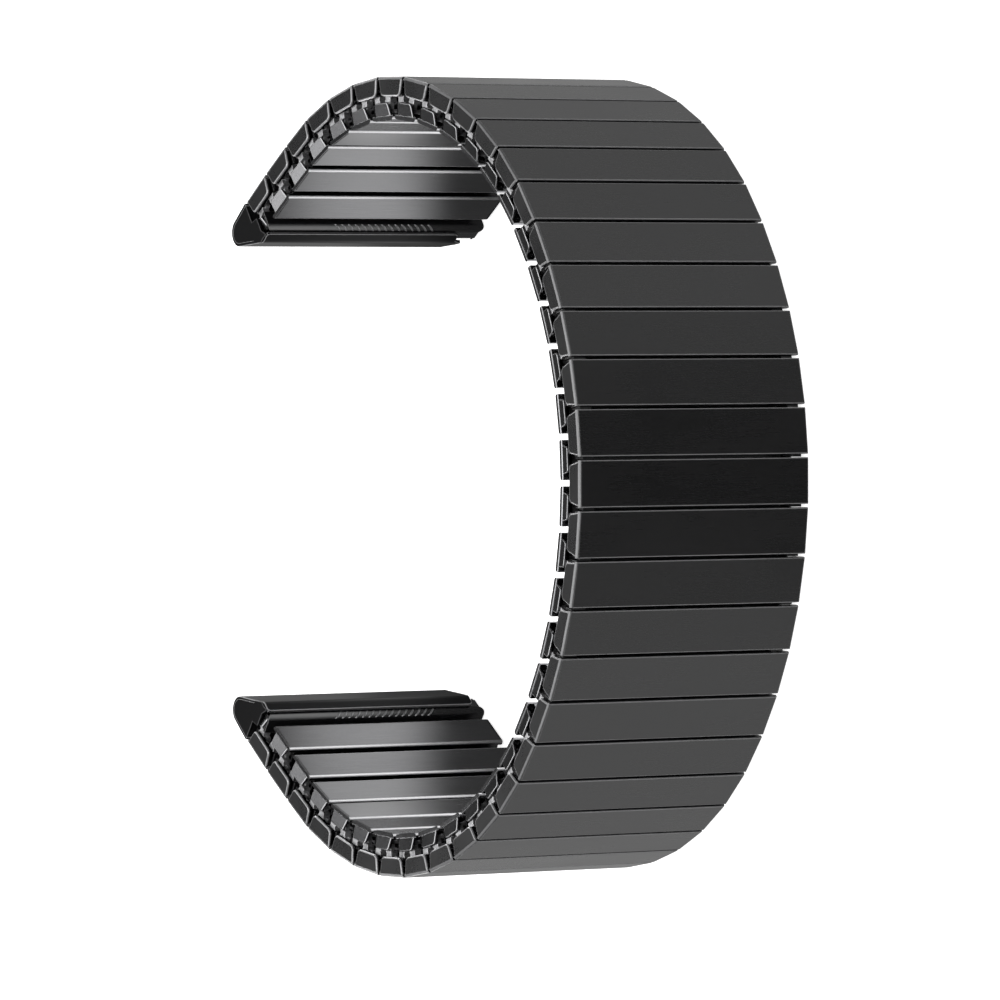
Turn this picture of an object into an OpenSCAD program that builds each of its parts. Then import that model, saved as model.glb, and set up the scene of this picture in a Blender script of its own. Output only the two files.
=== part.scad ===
// Stretch watch band: an outer row of covers and an inner row of sleeves, staggered by half a pitch,
// joined at both side edges by U-shaped bows, with a folded end piece at each end for the watch.
// The band lies on one side edge, so the bars run along Z. X is across the loop, and the closed side
// of the loop faces -Y. Millimetres.

/* [Band] */
// Width of the band along the bars
band_w = 22; // [18:0.5:24]
// Distance from one cover to the next along the outer face
pitch = 4.08; // [3.8:0.01:4.4]
// Gap between neighbouring covers when the band is closed up
cover_gap = 0.3; // [0.25:0.01:0.36]
// Gap between neighbouring inner sleeves when the band lies flat
sleeve_gap = 0.82; // [0.78:0.01:0.9]

/* [Thickness] */
// Height of a cover, from its outer face to its open underside
cover_h = 1.65; // [1.6:0.01:1.8]
// Space between the two rows, which the bows cross
row_gap = 0.55; // [0.5:0.01:0.65]
// Height of an inner sleeve
sleeve_h = 1.35; // [1.3:0.01:1.5]
// Thickness of the folded sheet
sheet = 0.25; // [0.2:0.01:0.27]

/* [Rest shape] */
// Turn from one cover to the next on the closed side, in degrees
bend_closed = 6.46; // [5.8:0.01:6.9]
// Turn from one cover to the next at the shoulders, in degrees
bend_shoulder = 8.36; // [7.8:0.01:9]
// Turn from one cover to the next beside the end pieces, in degrees
bend_limb = 1.88; // [1.5:0.01:3]

/* [Bows] */
// Width of a bow where it shows between the rows
post_w = 1.0; // [0.8:0.05:1.05]
// Width of a bow's legs inside the covers and sleeves
leg_w = 0.4; // [0.3:0.02:0.42]
// Length of a bow's legs along the bars
leg_len = 6.5; // [4:0.25:8]

/* [End pieces] */
// Radius inside the folded tip that takes the watch's spring bar
tip_r = 0.9; // [0.8:0.05:0.95]
// Radius of the hole in each end cap for the spring bar's pin
pin_hole_r = 0.55; // [0.45:0.05:0.6]
// Distance from the last cover to the middle of the tip
tip_reach = 2.45; // [2.3:0.05:2.7]
// Depth of the turned-up front wall of an end piece
front_wall = 0.95; // [0.85:0.05:1.05]
// Lean of that front wall from the inner flange, in degrees
front_lean = 43; // [35:1:50]
// Radius of the rolled wall below the last sleeve
roll_r = 0.55; // [0.5:0.05:0.6]
// Length of the slanted cut at the far end of each inner flange
slant_cut = 2.8; // [2.4:0.1:3]

/* [Hidden] */
$fn = 48;
LINKS = 37;
MIDDLE = (LINKS + 1) / 2;
CLOSED_JOINTS = 6;
SHOULDER_JOINTS = 10;
play = 0.05;
end_sheet = sheet + 0.05;
chamfer = 0.12;
bevel = 0.32;
side_straight = 0.55;
bow_tuck = 0.1;
leg_back = 0.8;
leg_drop = 0.23;
tip_lower = 0.2;
roll_turn = 100;
slant_turn = 52;
slant_far = 0.3;
slant_near = -2.96;
slant_top = -2.4;
draft = 0.15;
sleeve_inset = 0.25;
sleeve_round = 0.2;
seam_slit = 0.25;
cover_half = (pitch - cover_gap) / 2;
sleeve_half = (pitch - sleeve_gap) / 2;
sleeve_top = -(cover_h + row_gap);
sleeve_bottom = sleeve_top - sleeve_h;
notch_len = 1.0;
leg_h = 0.3;
post_t = 0.5;
post_z = sheet + sleeve_inset + bow_tuck;
leg_out = 0.5;
leg_in = pitch / 2 - leg_back;
cover_leg_y = -cover_h + sheet + play;
sleeve_leg_y = sleeve_top - sheet - leg_drop;
post_slope = 0.15;
leaf_t = 0.1;
leaf_w = 1.9;
leaf_slope = 4;
near = 0.03;
sleeve_rock = 0.12;
tongue_back = 0.25;
web_w = 0.5;
cap_reach = 0.65;
flange_drop = 0.93;
flange_x = 0.3;
corner_run = 0.6;

function total(v, i = 0) = i < len(v) ? v[i] + total(v, i + 1) : 0;
function along(t) = [cos(t), sin(t)];
function from_middle(j) = abs(j + 0.5 - MIDDLE);
function bend(j) = from_middle(j) < CLOSED_JOINTS ? bend_closed
    : from_middle(j) < CLOSED_JOINTS + SHOULDER_JOINTS ? bend_shoulder : bend_limb;

// Direction of each link's outer face, from the first end piece towards the second
heading = [for (k = [0:LINKS + 1])
    k <= MIDDLE ? 180 + total([for (j = [max(k, 1):1:MIDDLE - 1]) bend(j)])
    : 180 - total([for (j = [MIDDLE:1:min(k, LINKS) - 1]) bend(j)])];
// Outer seams: seam k is the end of cover k, and seam 0 the start of cover 1
seam_raw = [for (k = [0:LINKS])
    k < MIDDLE ? [pitch / 2, 0] - pitch * total_xy([for (i = [k + 1:1:MIDDLE - 1]) along(heading[i])])
    : [-pitch / 2, 0] + pitch * total_xy([for (i = [MIDDLE + 1:1:k]) along(heading[i])])];
function total_xy(v) = len(v) == 0 ? [0, 0] : [total([for (p = v) p[0]]), total([for (p = v) p[1]])];

tip_outer = tip_r + end_sheet;
tip_drop = tip_outer + tip_lower;
tip_raw_y = seam_raw[0][1] - tip_reach * sin(heading[1]) - tip_drop * cos(heading[1]) + tip_outer;
// Half the loop's depth, which puts the origin in the middle of it
shift_y = tip_raw_y / 2;
seam = [for (p = seam_raw) p - [0, shift_y]];

function two(n) = str(n < 10 ? "0" : "", n);
function link_name(k) = str("link_", two(k));
function bow_name(j) = str("bow_", two(j));
// Seams where the band also bends: every second one, counted outwards from the middle link
bend_seams = [for (j = [1:LINKS - 1]) if (j < MIDDLE ? (j % 2 == 1) : (j % 2 == 0)) j];
function bends(j) = len(search(j, bend_seams)) > 0;

// Places children in the frame of link k: X along the band, Y outwards, origin at the outer face's middle
module at_link(k) {
    middle = (seam[k - 1] + seam[k]) / 2;
    translate([middle[0], middle[1], 0]) rotate([0, 0, heading[k]]) children();
}

// Places children in the frame of seam j, halfway between its two covers
module at_seam(j) {
    turn = j == 0 ? heading[1] : j == LINKS ? heading[LINKS] : (heading[j] + heading[j + 1]) / 2;
    translate([seam[j][0], seam[j][1], 0]) rotate([0, 0, turn]) children();
}

// Cuts a bar to the shape of its ends, drawn as points of Y and Z
module across(points, reach) {
    translate([-reach, 0, 0]) rotate([90, 0, 90]) linear_extrude(2 * reach) polygon(points);
}

function cover_outline(inset) = let (a = cover_half - inset, b = cover_half - draft - inset,
    c = inset > 0 ? 0 : chamfer)
    [[-a + c, -inset], [a - c, -inset], [a, -inset - c], [a, -side_straight],
     [b, -cover_h + inset], [-b, -cover_h + inset], [-a, -side_straight], [-a, -inset - c]];

// Outer cover: a sheet box with turned-down end flaps, notched underneath beside the flaps for the bows
module cover() {
    notch_half = cover_half - draft - sheet;
    difference() {
        intersection() {
            linear_extrude(band_w) polygon(cover_outline(0));
            across([[-cover_h, 0], [-bevel, 0], [0, bevel], [0, band_w - bevel], [-bevel, band_w],
                [-cover_h, band_w]], pitch);
        }
        translate([0, 0, sheet]) linear_extrude(band_w - 2 * sheet) polygon(cover_outline(sheet));
        for (z = [sheet, band_w - sheet - notch_len])
            translate([-notch_half, -cover_h - 1, z]) cube([2 * notch_half, 1 + 2 * sheet, notch_len]);
        translate([-seam_slit / 2, -cover_h - 1, sheet])
            cube([seam_slit, 1 + 2 * sheet, band_w - 2 * sheet]);
    }
}

// Inner sleeve from x = from to x = to: the same box turned over, a little narrower than the cover
module sleeve(from, to) {
    open_from = from <= -sleeve_half ? from + sheet : from - 1;
    low = sleeve_bottom;
    edge = bevel + sleeve_inset;
    difference() {
        intersection() {
            translate([0, 0, sleeve_inset]) linear_extrude(band_w - 2 * sleeve_inset)
                polygon([[from, sleeve_top], [to, sleeve_top], [to, low + sleeve_round],
                    [to - sleeve_round, low], [from + sleeve_round, low], [from, low + sleeve_round]]);
            across([[sleeve_top, sleeve_inset], [low + bevel, sleeve_inset], [low, edge],
                [low, band_w - edge], [low + bevel, band_w - sleeve_inset],
                [sleeve_top, band_w - sleeve_inset]], pitch);
        }
        translate([open_from, low + sheet, sleeve_inset + sheet])
            cube([to - sheet - open_from, sleeve_h - 2 * sheet, band_w - 2 * (sleeve_inset + sheet)]);
        for (z = [sleeve_inset + sheet, band_w - sleeve_inset - sheet - notch_len])
            translate([open_from, sleeve_top - 2 * sheet, z])
                cube([to - sheet - open_from, 1 + 2 * sheet, notch_len]);
    }
}

// One bow at the lower side edge, drawn for the cover's +X half
module bow_edge() {
    post_x = pitch / 4;
    post_top = -cover_h - play;
    post_low = sleeve_top + bow_tuck;
    translate([0, 0, post_z]) {
        linear_extrude(post_t) polygon([[post_x - post_w / 2, post_top], [post_x + post_w / 2, post_top],
            [post_x + post_w / 2, post_low], [post_x - post_w / 2, post_low + post_slope]]);
        translate([leg_out - leg_w / 2, post_top - bow_tuck, 0])
            cube([leg_w, cover_leg_y + leg_h - post_top + bow_tuck, post_t]);
        translate([leg_out - leg_w / 2, cover_leg_y, 0]) cube([leg_w, leg_h, leg_len]);
        translate([leg_in - leg_w / 2, sleeve_leg_y - leg_h, 0])
            cube([leg_w, post_low + post_slope - sleeve_leg_y + leg_h, post_t]);
        translate([leg_in - leg_w / 2, sleeve_leg_y - leg_h, 0]) cube([leg_w, leg_h, leg_len]);
    }
}

// The two bows of one cover half, one at each side edge
module bows() {
    bow_edge();
    translate([0, 0, band_w]) mirror([0, 0, 1]) bow_edge();
}

// Bowed leaf spring: its middle rests on a wall at y = mid, and its ends reach y = tips beside the legs
module leaf(mid, tips, start) {
    flat = start + leaf_slope;
    across([[tips, start], [mid, flat], [mid, band_w - flat], [tips, band_w - start],
        [tips + leaf_t, band_w - start], [mid + leaf_t, band_w - flat], [mid + leaf_t, flat],
        [tips + leaf_t, start]], leaf_w / 2);
}

module cover_leaf() {
    leaf(-sheet - near - leaf_t, cover_leg_y + leg_h + near, post_z + post_t + near);
}

module sleeve_leaf() {
    leaf(sleeve_bottom + sheet + near, sleeve_leg_y - leg_h - leaf_t - sleeve_rock, post_z + post_t + near);
}

module link(k) {
    at_link(k) {
        color([0.13, 0.13, 0.14]) cover();
        color([0.55, 0.55, 0.56]) cover_leaf();
    }
    if (k < LINKS) {
        at_link(k) color([0.62, 0.62, 0.63]) bows();
        if (!bends(k)) at_link(k + 1) mirror([1, 0, 0]) color([0.62, 0.62, 0.63]) bows();
        at_seam(k) {
            color([0.3, 0.3, 0.31]) sleeve(-sleeve_half, sleeve_half);
            color([0.55, 0.55, 0.56]) sleeve_leaf();
        }
    }
}

// The pair of bows that carries the bend at seam j
module bow_pair(j) {
    at_link(j + 1) mirror([1, 0, 0]) color([0.62, 0.62, 0.63]) bows();
}

tip = [-tip_reach, -tip_drop];
function touch(p, side) = let (d = p - tip, phi = atan2(d[1], d[0]), a = acos(tip_outer / norm(d)))
    tip + tip_outer * along(phi + side * a);
outer_end = [-cover_gap / 2, 0];
outer_touch = touch(outer_end, 1);
flange_end = [flange_x, sleeve_bottom - flange_drop];
inner_touch = touch(flange_end, -1);
flange_run = flange_end - inner_touch;
flange_angle = atan2(flange_run[1], flange_run[0]);
flange_in = end_sheet * along(flange_angle + 90);
outer_run = outer_touch - outer_end;
outer_in = end_sheet * along(atan2(outer_run[1], outer_run[0]) + 90);
wall_end = flange_end + front_wall * along(flange_angle + front_lean);
wall_in = end_sheet * along(flange_angle + front_lean + 90);
corner_in = flange_end + (flange_in + wall_in) / (1 + cos(front_lean));
corner_back = flange_end - corner_run * along(flange_angle);

// Height of the line from p to q at x
function line_y(p, q, x) = p[1] + (q[1] - p[1]) * (x - p[0]) / (q[0] - p[0]);

// Folded end piece: outer face, rolled tip, inner flange, turned-up front wall, and a cap at each side edge
module end_shell() {
    difference() {
        end_fold();
        slant();
    }
}

// Slanted cut that opens the flange at one side edge, from the front wall to the tip
module slant() {
    slope = slant_cut / (slant_far - slant_near);
    reach = slant_near - 1;
    rotate([0, 0, slant_turn]) translate([slant_top - front_wall - 2, 0, 0]) rotate([90, 0, 90])
        linear_extrude(front_wall + 2)
            polygon([[slant_far, -1], [slant_far, 0], [reach, slope * (slant_far - reach)], [reach, -1]]);
}

module end_fold() {
    linear_extrude(band_w) {
        difference() {
            union() {
                translate(tip) circle(tip_outer);
                polygon([outer_end, outer_touch, tip, inner_touch, flange_end]);
            }
            translate(tip) circle(tip_r);
            polygon([outer_end + outer_in + [1, 0], outer_end + outer_in, outer_touch + outer_in, tip,
                inner_touch + flange_in, flange_end + flange_in, flange_end + flange_in + [1, 0]]);
        }
        polygon([corner_back, flange_end, wall_end, wall_end + wall_in, corner_in, corner_back + flange_in]);
    }
    for (z = [0, band_w - sheet]) translate([0, 0, z]) linear_extrude(sheet) difference() {
        union() {
            translate(tip) circle(tip_outer);
            polygon([outer_end, outer_touch, tip, inner_touch, flange_end, wall_end, wall_end + wall_in,
                [cap_reach, sleeve_bottom], [cap_reach, sleeve_top + 2 * play],
                [outer_end[0], sleeve_top + 4 * play]]);
        }
        translate(tip) circle(pin_hole_r);
    }
}

// Short sleeve that joins the end piece to the last cover, with its two bows and the web it is fixed by
module end_tongue() {
    web_from = -tongue_back - web_w;
    web_to = -tongue_back;
    out_a = outer_end + outer_in;
    out_b = outer_touch + outer_in;
    in_a = flange_end + flange_in;
    in_b = inner_touch + flange_in;
    sleeve(-tongue_back - near, sleeve_half);
    roll();
    translate([pitch / 2, 0, 0]) mirror([1, 0, 0]) bows();
    translate([0, 0, slant_cut]) linear_extrude(band_w - slant_cut - sheet)
        polygon([[web_from, line_y(out_a, out_b, web_from)], [web_to, line_y(out_a, out_b, web_to)],
            [web_to, line_y(in_a, in_b, web_to)], [web_from, line_y(in_a, in_b, web_from)]]);
}

// Rolled wall that carries the tongue's sleeve down behind the front wall
module roll() {
    roll_in = roll_r - sheet;
    outer = [for (t = [0:roll_turn / 6:roll_turn + near]) roll_r * along(-t)];
    inner = [for (t = [roll_turn:-roll_turn / 6:-near]) roll_in * along(-t)];
    translate([sleeve_half - roll_r, sleeve_bottom + sleeve_round, sleeve_inset])
        linear_extrude(band_w - 2 * sleeve_inset) polygon(concat(outer, inner));
}

module end_a_place() {
    translate([seam[0][0], seam[0][1], 0]) rotate([0, 0, heading[1]]) children();
}

module end_b_place() {
    translate([seam[LINKS][0], seam[LINKS][1], 0]) rotate([0, 0, heading[LINKS]])
        mirror([1, 0, 0]) children();
}

for (k = [1:LINKS]) link(k);
for (j = bend_seams) bow_pair(j);
end_a_place() color([0.1, 0.1, 0.11]) end_shell();  // end_shell_a
end_a_place() color([0.4, 0.4, 0.41]) end_tongue();  // end_tongue_a
end_b_place() color([0.1, 0.1, 0.11]) end_shell();  // end_shell_b
end_b_place() color([0.4, 0.4, 0.41]) end_tongue();  // end_tongue_b
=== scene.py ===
# %% [markdown]
# # Stretch watch band
# This lesson dresses a CAD model of an expanding steel watch band for a picture. The band lies on
# one side edge: its bars run along Z, its closed side faces -Y, and its two end pieces are at +Y.
# The CAD model is loaded first, because every piece made here has to ride on one of its moving bodies.

# %% Load the frame
import math
import bmesh
import bpy
from mathutils import Matrix, Vector


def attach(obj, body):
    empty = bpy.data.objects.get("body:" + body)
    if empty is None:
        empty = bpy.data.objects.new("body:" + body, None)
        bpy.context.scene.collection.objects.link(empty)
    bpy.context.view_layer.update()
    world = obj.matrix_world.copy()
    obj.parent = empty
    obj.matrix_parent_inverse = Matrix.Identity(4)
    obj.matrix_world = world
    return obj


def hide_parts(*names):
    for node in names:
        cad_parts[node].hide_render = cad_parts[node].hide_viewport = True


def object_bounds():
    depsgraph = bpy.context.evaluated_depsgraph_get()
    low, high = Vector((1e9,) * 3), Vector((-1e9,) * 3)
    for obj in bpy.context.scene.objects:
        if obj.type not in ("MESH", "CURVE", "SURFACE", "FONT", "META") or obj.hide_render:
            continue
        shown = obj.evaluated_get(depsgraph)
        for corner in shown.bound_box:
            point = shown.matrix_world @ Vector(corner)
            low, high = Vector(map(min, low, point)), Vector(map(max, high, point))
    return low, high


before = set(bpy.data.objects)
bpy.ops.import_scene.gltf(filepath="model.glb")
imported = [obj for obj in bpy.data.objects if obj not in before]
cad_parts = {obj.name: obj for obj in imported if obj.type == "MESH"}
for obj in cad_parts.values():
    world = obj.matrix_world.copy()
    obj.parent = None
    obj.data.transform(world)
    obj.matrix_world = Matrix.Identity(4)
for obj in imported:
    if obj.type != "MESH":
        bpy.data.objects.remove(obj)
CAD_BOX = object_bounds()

print("CAD box in mm:", [[round(c * 1000, 2) for c in corner] for corner in CAD_BOX])

# %% [markdown]
# ## Sizes
# The real band is 22 mm wide and has 37 outer links. Every size is kept in millimetres, as a maker
# would read it off a calliper, and is turned to metres once, where a form becomes a mesh. Heights
# are counted outwards from a link's outer face, so what lies deeper has a negative height.

# %% Sizes of the band
MM = 0.001
BAND_W = 22.0
LINKS = 37
MIDDLE = (LINKS + 1) // 2
PITCH = 4.08
COVER_GAP = 0.3
SLEEVE_GAP = 0.82
COVER_H = 1.65
ROW_GAP = 0.55
SLEEVE_H = 1.35
SHEET = 0.25
COVER_HALF = (PITCH - COVER_GAP) / 2
SLEEVE_HALF = (PITCH - SLEEVE_GAP) / 2
SLEEVE_TOP = -(COVER_H + ROW_GAP)
SLEEVE_LOW = SLEEVE_TOP - SLEEVE_H
print(f"cover {2 * COVER_HALF:.2f} mm, sleeve {2 * SLEEVE_HALF:.2f} mm, thickness {-SLEEVE_LOW:.2f} mm")

# %% [markdown]
# ## The path of the band
# At rest the band holds an open loop. Each outer link turns by a fixed angle from the one before,
# in three zones on either side of the middle link, so a short rule gives the place of every link.
# A curve object could carry the links too, but it would stretch and squeeze them between its points.

# %% Headings and seams
BEND_CLOSED = 6.46
BEND_SHOULDER = 8.36
BEND_LIMB = 1.88
CLOSED_JOINTS = 6
SHOULDER_JOINTS = 10


def along(degrees):
    a = math.radians(degrees)
    return Vector((math.cos(a), math.sin(a)))


def bend(j):
    from_middle = abs(j + 0.5 - MIDDLE)
    if from_middle < CLOSED_JOINTS:
        return BEND_CLOSED
    return BEND_SHOULDER if from_middle < CLOSED_JOINTS + SHOULDER_JOINTS else BEND_LIMB


def headings():
    out = {MIDDLE: 180.0}
    for k in range(MIDDLE - 1, 0, -1):
        out[k] = out[k + 1] + bend(k)
    for k in range(MIDDLE + 1, LINKS + 1):
        out[k] = out[k - 1] - bend(k - 1)
    return out


HEADING = headings()


def seams():
    out = {MIDDLE - 1: Vector((PITCH / 2, 0)), MIDDLE: Vector((-PITCH / 2, 0))}
    for k in range(MIDDLE - 1, 0, -1):
        out[k - 1] = out[k] - PITCH * along(HEADING[k])
    for k in range(MIDDLE + 1, LINKS + 1):
        out[k] = out[k - 1] + PITCH * along(HEADING[k])
    drop = Vector((0, CAD_BOX[0][1] / MM))
    return {k: p + drop for k, p in out.items()}


SEAM = seams()
print("first and last heading:", round(HEADING[1], 1), round(HEADING[LINKS], 1))

# %% [markdown]
# ## Node helpers
# Node trees are easier to read as sums than as boxes and wires. This small class wraps a socket, so
# that an expression such as 1 - mask adds its own Math node, and one method makes any other node.

# %% A socket that can be added and multiplied
class Sock:
    def __init__(self, tree, socket):
        self.tree = tree
        self.socket = socket

    def __add__(self, other):
        return self.tree.math("ADD", self, other)

    def __mul__(self, other):
        return self.tree.math("MULTIPLY", self, other)

    def __sub__(self, other):
        return self.tree.math("SUBTRACT", self, other)

    def __rsub__(self, other):
        return self.tree.math("SUBTRACT", other, self)

    __radd__ = __add__
    __rmul__ = __mul__


class Tree:
    """Makes nodes in one tree: type, settings, then values or links of its sockets."""

    def __init__(self, tree):
        self.tree = tree

    def put(self, socket, value):
        if isinstance(value, Sock):
            self.tree.links.new(value.socket, socket)
        else:
            socket.default_value = value

    def node(self, kind, settings=None, values=None, output=0):
        node = self.tree.nodes.new(kind)
        for key, value in (settings or {}).items():
            if key == "stops":
                while len(node.color_ramp.elements) < len(value):
                    node.color_ramp.elements.new(0.5)
                for element, (place, colour) in zip(node.color_ramp.elements, value):
                    element.position = place
                    element.color = (*colour, 1)
            else:
                setattr(node, key, value)
        for key, value in (values or {}).items():
            self.put(node.inputs[key], value)
        return Sock(self, node.outputs[output])

    def math(self, kind, first, second):
        return self.node("ShaderNodeMath", {"operation": kind}, {0: first, 1: second})


print("node helpers:", Sock.__name__, Tree.__name__)

# %% [markdown]
# ## Finishes
# The covers and sleeves are steel with a thin black coating. It is satin rather than glossy, it has
# hair-fine brushing along the bars, and it is a little worn at the folded edges, where grey steel
# shows through. The forms below mark those edges in a mesh attribute named wear, and the finish
# mixes bare steel in by that attribute, broken up by a cloudy noise so that no edge wears evenly.
# The noise scales are in repeats a metre. The sleeves lie against the wrist and are rubbed brighter
# all over, so their coating is given as a darkened metal rather than as a paint.

# %% Black coated steel
STEEL_TONE = (0.55, 0.55, 0.56, 1)
OBJECT_COORDS = 3
ATTRIBUTE_FACTOR = 2
FIRST_COLOUR, SECOND_COLOUR, MIXED_COLOUR = 6, 7, 2
BRUSHING = (9000, 9000, 400)
CLOUDS = (160, 160, 90)
SPECKS = (5200, 5200, 5200)
COAT_BUMP = 0.01 * MM


def new_finish(name):
    material = bpy.data.materials.new(name)
    material.use_nodes = True
    return material, Tree(material.node_tree), material.node_tree.nodes["Principled BSDF"].inputs


def noise_in(t, stretch, detail):
    coords = t.node("ShaderNodeTexCoord", output=OBJECT_COORDS)
    place = t.node("ShaderNodeMapping", None, {"Vector": coords, "Scale": stretch})
    return t.node("ShaderNodeTexNoise", None, {"Vector": place, "Scale": 1.0, "Detail": detail})


def mixed(t, share, first, second):
    return t.node("ShaderNodeMix", {"data_type": "RGBA"},
                  {0: share, FIRST_COLOUR: first, SECOND_COLOUR: second}, MIXED_COLOUR)


def bumped(t, height, strength, distance):
    return t.node("ShaderNodeBump", None, {"Height": height, "Strength": strength, "Distance": distance})


def coated_steel(name, dark, light, rough, specular, worn, metal=0.0):
    """Black coating: brushed along Z, cloudy gloss, small specks, grey steel on worn edges."""
    material, t, shader = new_finish(name)
    brushed = noise_in(t, BRUSHING, 3.0)
    cloud = noise_in(t, CLOUDS, 4.0)
    specks = noise_in(t, SPECKS, 2.0)
    blend = cloud * 0.5 + brushed * 0.35 + specks * 0.15
    coat = t.node("ShaderNodeValToRGB", {"stops": ((0.3, dark), (0.7, light))}, {0: blend})
    attribute = t.node("ShaderNodeAttribute", {"attribute_name": "wear"}, output=ATTRIBUTE_FACTOR)
    bare = attribute * (cloud * 0.5 + specks * 0.5 + 0.5) * worn
    colour = mixed(t, bare, coat, STEEL_TONE)
    height = brushed * 0.5 + specks * 0.4
    t.put(shader["Base Color"], colour)
    t.put(shader["Metallic"], bare * (1 - metal) + metal)
    t.put(shader["Roughness"], cloud * 0.14 + brushed * 0.06 + bare * 0.2 + (rough - 0.1))
    t.put(shader["Normal"], bumped(t, height, 0.1, COAT_BUMP))
    shader["Specular IOR Level"].default_value = specular
    return material


COVER_COAT = coated_steel("cover_coat", (0.003, 0.003, 0.0033), (0.007, 0.007, 0.0077),
                          rough=0.28, specular=0.75, worn=0.9)
SLEEVE_COAT = coated_steel("sleeve_coat", (0.13, 0.13, 0.134), (0.19, 0.19, 0.195),
                           rough=0.24, specular=0.5, worn=1.0, metal=1.0)
END_COAT = coated_steel("end_coat", (0.004, 0.004, 0.0043), (0.008, 0.008, 0.0085),
                        rough=0.34, specular=0.11, worn=0.9)
CAP_COAT = coated_steel("cap_coat", (0.002, 0.002, 0.0022), (0.004, 0.004, 0.0044),
                        rough=0.5, specular=0.08, worn=0.5)
print("coated finishes:", COVER_COAT.name, SLEEVE_COAT.name, END_COAT.name, CAP_COAT.name)

# %% [markdown]
# The small bows that hinge one row on the other, and the springs inside the links, are bare steel
# wire and strip. They are duller than polished steel and carry fine marks from the drawing die, so
# this finish is a metal with two scales of noise in its colour and a stronger bump.

# %% Bare spring steel
DIE_MARKS = (14000, 14000, 3500)
PATCHES = (900, 900, 700)
DRAWN_BUMP = 0.02 * MM


def bare_steel(name, low, high, rough):
    material, t, shader = new_finish(name)
    marks = noise_in(t, DIE_MARKS, 3.0)
    cloud = noise_in(t, PATCHES, 2.0)
    blend = marks * 0.6 + cloud * 0.4
    tone = t.node("ShaderNodeValToRGB", {"stops": ((0.36, low), (0.62, high))}, {0: blend})
    t.put(shader["Base Color"], tone)
    t.put(shader["Roughness"], cloud * 0.3 + (rough - 0.15))
    t.put(shader["Normal"], bumped(t, marks, 0.3, DRAWN_BUMP))
    shader["Metallic"].default_value = 1.0
    return material


BOW_STEEL = bare_steel("bow_steel", (0.24, 0.24, 0.245), (0.62, 0.62, 0.63), rough=0.5)
print("bare finish:", BOW_STEEL.name)

# %% [markdown]
# ## Forms
# Each kind of piece is made once, in its own frame: X along the band, Y outwards, Z along the bars.
# Folded sheet is easy to build as a prism with its edges rounded by bmesh's bevel. The bevel returns
# the faces it made, so the same call can mark them as worn.

# %% Prism and rounded edges
NEAR = 1e-4
SHARP_ANGLE = 25


def prism(points, low, high):
    """A closed solid with this outline, from z = low to z = high."""
    mesh = bmesh.new()
    mesh.faces.layers.float.new("wear")
    bottom = [mesh.verts.new((p[0], p[1], low)) for p in points]
    top = [mesh.verts.new((p[0], p[1], high)) for p in points]
    mesh.faces.new(bottom[::-1])
    mesh.faces.new(top)
    for i in range(len(points)):
        n = (i + 1) % len(points)
        mesh.faces.new((bottom[i], bottom[n], top[n], top[i]))
    bmesh.ops.recalc_face_normals(mesh, faces=mesh.faces)
    return mesh


def round_edges(mesh, test, width, segments, wear=0.0):
    edges = [e for e in mesh.edges if test(e)]
    made = bmesh.ops.bevel(mesh, geom=edges, offset=width, segments=segments, profile=0.5, affect="EDGES",
                           clamp_overlap=True)
    layer = mesh.faces.layers.float["wear"]
    for face in made["faces"]:
        face[layer] = wear
    return mesh


def sharp(edge):
    return edge.calc_face_angle(0) > math.radians(SHARP_ANGLE)


def both_ends(edge, test):
    return all(test(v.co) for v in edge.verts)


def arc(centre, radius, start, end, steps=6):
    return [centre + radius * along(start + (end - start) * i / steps) for i in range(steps + 1)]


def rectangle(x0, x1, y0, y1):
    return [Vector((x0, y0)), Vector((x1, y0)), Vector((x1, y1)), Vector((x0, y1))]


trial = round_edges(prism(rectangle(0, 2, 0, 1), 0, 3), sharp, 0.1, 2)
print("a trial block, rounded:", len(trial.faces), "faces")
trial.free()

# %% [markdown]
# A small plate with hollows in its outline has points close together, and there the bevel would clamp
# its width. So its rounded rim is made by hand: the same outline again and again, moved in and down.

# %% Plate with a worn rounded rim
RIM_HALFWAY = 0.29


def inward(points, i, width):
    """The outline's point i, moved in by this width."""
    into = (points[i] - points[i - 1]).normalized()
    out = (points[(i + 1) % len(points)] - points[i]).normalized()
    way = (into + out).normalized()
    return points[i] + Vector((-way.y, way.x)) * width / max(way.dot(out), 0.5)


def rimmed_plate(points, low, high, rim, wear):
    """A plate whose lower face has a rounded rim; the outline runs anticlockwise."""
    mesh = bmesh.new()
    layer = mesh.faces.layers.float.new("wear")
    rings = []
    halfway = RIM_HALFWAY * rim
    for z, width in ((high, 0.0), (low + rim, 0.0), (low + halfway, halfway), (low, rim)):
        ring = [inward(points, i, width) for i in range(len(points))]
        rings.append([mesh.verts.new((p.x, p.y, z)) for p in ring])
    mesh.faces.new(rings[0])
    mesh.faces.new(rings[-1][::-1])
    for level, (upper, lower) in enumerate(zip(rings, rings[1:])):
        for i in range(len(points)):
            n = (i + 1) % len(points)
            mesh.faces.new((lower[i], lower[n], upper[n], upper[i]))[layer] = wear if level else 0.0
    bmesh.ops.recalc_face_normals(mesh, faces=mesh.faces)
    return mesh


trial = rimmed_plate(rectangle(0, 2, 0, 1), 0, 0.3, 0.1, 0.5)
print("a trial plate with a rim:", len(trial.faces), "faces")
trial.free()

# %% [markdown]
# A form is put together from parts, mirrored to the other side edge, and at last turned to metres.
# Smooth shading alone would smear a flat face over its rounded edge, so the border between a wide
# flat face and the narrow faces of its rounding is marked sharp, and the flat stays crisp.

# %% Joining, mirroring and finishing a form
CREASE_ANGLE = 38
FLAT_ANGLE = 4
WIDER = 4


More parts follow.
